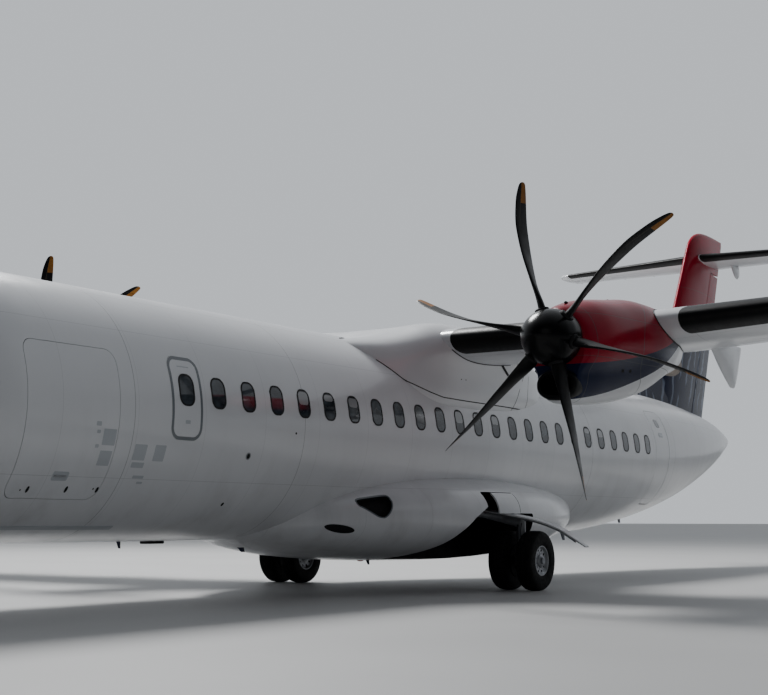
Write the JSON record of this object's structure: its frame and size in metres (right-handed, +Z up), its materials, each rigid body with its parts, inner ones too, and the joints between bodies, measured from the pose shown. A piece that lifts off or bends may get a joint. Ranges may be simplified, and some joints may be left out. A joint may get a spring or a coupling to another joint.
{
  "type": "turboprop airliner",
  "caption": "High-wing turboprop airliner with a T-tail, scimitar-bladed propellers, belly gear pods, opening doors and moving flight controls, parked on its gear.",
  "frame": {"origin": "on the ground at half of the overall length and on the centre line, under the wing's front", "axes": "+X towards the nose, +Y to port (the left wing), +Z up"},
  "size_m": [27.17, 27.05, 7.6508],
  "materials": {
    "paint_white": "gloss",
    "paint_crimson": "gloss",
    "paint_navy": "gloss",
    "blade_black": "satin",
    "gear_steel": "satin",
    "wheel_alloy": "satin",
    "engine_metal": "satin",
    "exhaust_steel": "brushed",
    "tyre_rubber": "matte"
  },
  "bodies": {
    "airframe": {"radome": "paint_white", "fuselage_nose": "paint_white", "fuselage_forward": "paint_white", "fuselage_centre": "paint_white", "fuselage_aft": "paint_white", "tail_cone": "paint_white", "service_door": "paint_white", "emergency_exit_left": "paint_white", "emergency_exit_right": "paint_white", "wing_fuselage_fairing": "paint_white", "belly_fairing": "paint_white", "wing_centre": "paint_white", "wing_outer_left": "paint_white", "wing_outer_right": "paint_white", "nacelle_left": "paint_crimson", "nacelle_right": "paint_crimson", "engine_left": "engine_metal", "engine_right": "engine_metal", "exhaust_left": "exhaust_steel", "exhaust_right": "exhaust_steel", "fin": "paint_crimson", "fin_tip": "paint_crimson", "dorsal_fin": "paint_navy", "tailplane": "paint_white", "main_gear_leg_left": "gear_steel", "main_gear_leg_right": "gear_steel", "main_gear_door_left": "paint_white", "main_gear_door_right": "paint_white", "nose_gear_leg": "gear_steel", "nose_gear_door_left": "paint_white", "nose_gear_door_right": "paint_white"},
    "cargo_door": {"cargo_door": "paint_white"},
    "passenger_door": {"passenger_door": "paint_white"},
    "flap_inner_left": {"flap_inner_left": "paint_white"},
    "flap_inner_right": {"flap_inner_right": "paint_white"},
    "flap_outer_left": {"flap_outer_left": "paint_white"},
    "flap_outer_right": {"flap_outer_right": "paint_white"},
    "aileron_left": {"aileron_left": "paint_white"},
    "aileron_right": {"aileron_right": "paint_white"},
    "propeller_left": {"propeller_left": "blade_black"},
    "propeller_right": {"propeller_right": "blade_black"},
    "rudder": {"rudder": "paint_crimson"},
    "elevator_left": {"elevator_left": "paint_white"},
    "elevator_right": {"elevator_right": "paint_white"},
    "main_wheels_left": {"main_wheel_hubs_left": "wheel_alloy", "main_tyre_left_outer": "tyre_rubber", "main_tyre_left_inner": "tyre_rubber"},
    "main_wheels_right": {"main_wheel_hubs_right": "wheel_alloy", "main_tyre_right_outer": "tyre_rubber", "main_tyre_right_inner": "tyre_rubber"},
    "nose_steering": {"nose_gear_fork": "gear_steel"},
    "nose_wheels": {"nose_wheel_hubs": "wheel_alloy", "nose_tyre_left": "tyre_rubber", "nose_tyre_right": "tyre_rubber"}
  },
  "joints": [
    {"name": "nose_steer", "type": "hinge", "parent": "airframe", "child": "nose_steering", "pos_m": [11.885, 0, 0.48], "axis": [0, 0, 1], "range_deg": [-60, 60]},
    {"name": "nose_wheel_spin", "type": "hinge", "parent": "nose_steering", "child": "nose_wheels", "pos_m": [11.885, 0, 0.225], "axis": [0, 1, 0], "continuous": true},
    {"name": "main_wheel_left_spin", "type": "hinge", "parent": "airframe", "child": "main_wheels_left", "pos_m": [1.115, 2.05, 0.425], "axis": [0, 1, 0], "continuous": true},
    {"name": "main_wheel_right_spin", "type": "hinge", "parent": "airframe", "child": "main_wheels_right", "pos_m": [1.115, -2.05, 0.425], "axis": [0, 1, 0], "continuous": true},
    {"name": "propeller_left_spin", "type": "hinge", "parent": "airframe", "child": "propeller_left", "pos_m": [4.34, 4.05, 3.15], "axis": [1, 0, 0], "continuous": true},
    {"name": "propeller_right_spin", "type": "hinge", "parent": "airframe", "child": "propeller_right", "pos_m": [4.34, -4.05, 3.15], "axis": [1, 0, 0], "continuous": true},
    {"name": "flap_lever", "type": "hinge", "parent": "airframe", "child": "flap_outer_left", "pos_m": [0.50179, 4.33, 3.46037], "axis": [-0.0276, -0.9985, -0.0465], "range_deg": [0, 35]},
    {"name": "flap_outer_right_hinge", "type": "hinge", "parent": "airframe", "child": "flap_outer_right", "pos_m": [0.50179, -4.33, 3.46037], "axis": [0.0276, -0.9985, 0.0465], "range_deg": [0, 35]},
    {"name": "flap_inner_left_hinge", "type": "hinge", "parent": "airframe", "child": "flap_inner_left", "pos_m": [0.50096, 1.64, 3.45897], "axis": [0, -1, 0], "range_deg": [0, 35]},
    {"name": "flap_inner_right_hinge", "type": "hinge", "parent": "airframe", "child": "flap_inner_right", "pos_m": [0.50096, -1.64, 3.45897], "axis": [0, -1, 0], "range_deg": [0, 35]},
    {"name": "aileron_left_hinge", "type": "hinge", "parent": "airframe", "child": "aileron_left", "pos_m": [0.65028, 9.7, 3.71059], "axis": [-0.0276, -0.9985, -0.0465], "range_deg": [-14, 14]},
    {"name": "aileron_right_hinge", "type": "hinge", "parent": "airframe", "child": "aileron_right", "pos_m": [0.65028, -9.7, 3.71059], "axis": [0.0276, -0.9985, 0.0465], "range_deg": [-14, 14]},
    {"name": "rudder_hinge", "type": "hinge", "parent": "airframe", "child": "rudder", "pos_m": [-11.2485, 0, 3.6114], "axis": [-0.3978, 0, 0.9175], "range_deg": [-27, 27]},
    {"name": "elevator_left_hinge", "type": "hinge", "parent": "airframe", "child": "elevator_left", "pos_m": [-12.90913, 0.15, 7], "axis": [0.0342, -0.9994, 0], "range_deg": [-23, 13]},
    {"name": "elevator_right_hinge", "type": "hinge", "parent": "airframe", "child": "elevator_right", "pos_m": [-12.90913, -0.15, 7], "axis": [-0.0342, -0.9994, 0], "range_deg": [-23, 13]},
    {"name": "passenger_door_hinge", "type": "hinge", "parent": "airframe", "child": "passenger_door", "pos_m": [-6.225, 0.902, 1.316], "axis": [-0.9914, -0.1308, 0], "range_deg": [0, 115]},
    {"name": "cargo_door_hinge", "type": "hinge", "parent": "airframe", "child": "cargo_door", "pos_m": [9.5125, 1.32, 2.735], "axis": [1, 0, 0], "range_deg": [0, 105]}
  ],
  "couplings": [
    {"joint": "flap_outer_right_hinge", "follows": "flap_lever", "ratio": 1},
    {"joint": "flap_inner_left_hinge", "follows": "flap_lever", "ratio": 1},
    {"joint": "flap_inner_right_hinge", "follows": "flap_lever", "ratio": 1},
    {"joint": "aileron_right_hinge", "follows": "aileron_left_hinge", "ratio": -1},
    {"joint": "elevator_right_hinge", "follows": "elevator_left_hinge", "ratio": 1}
  ]
}
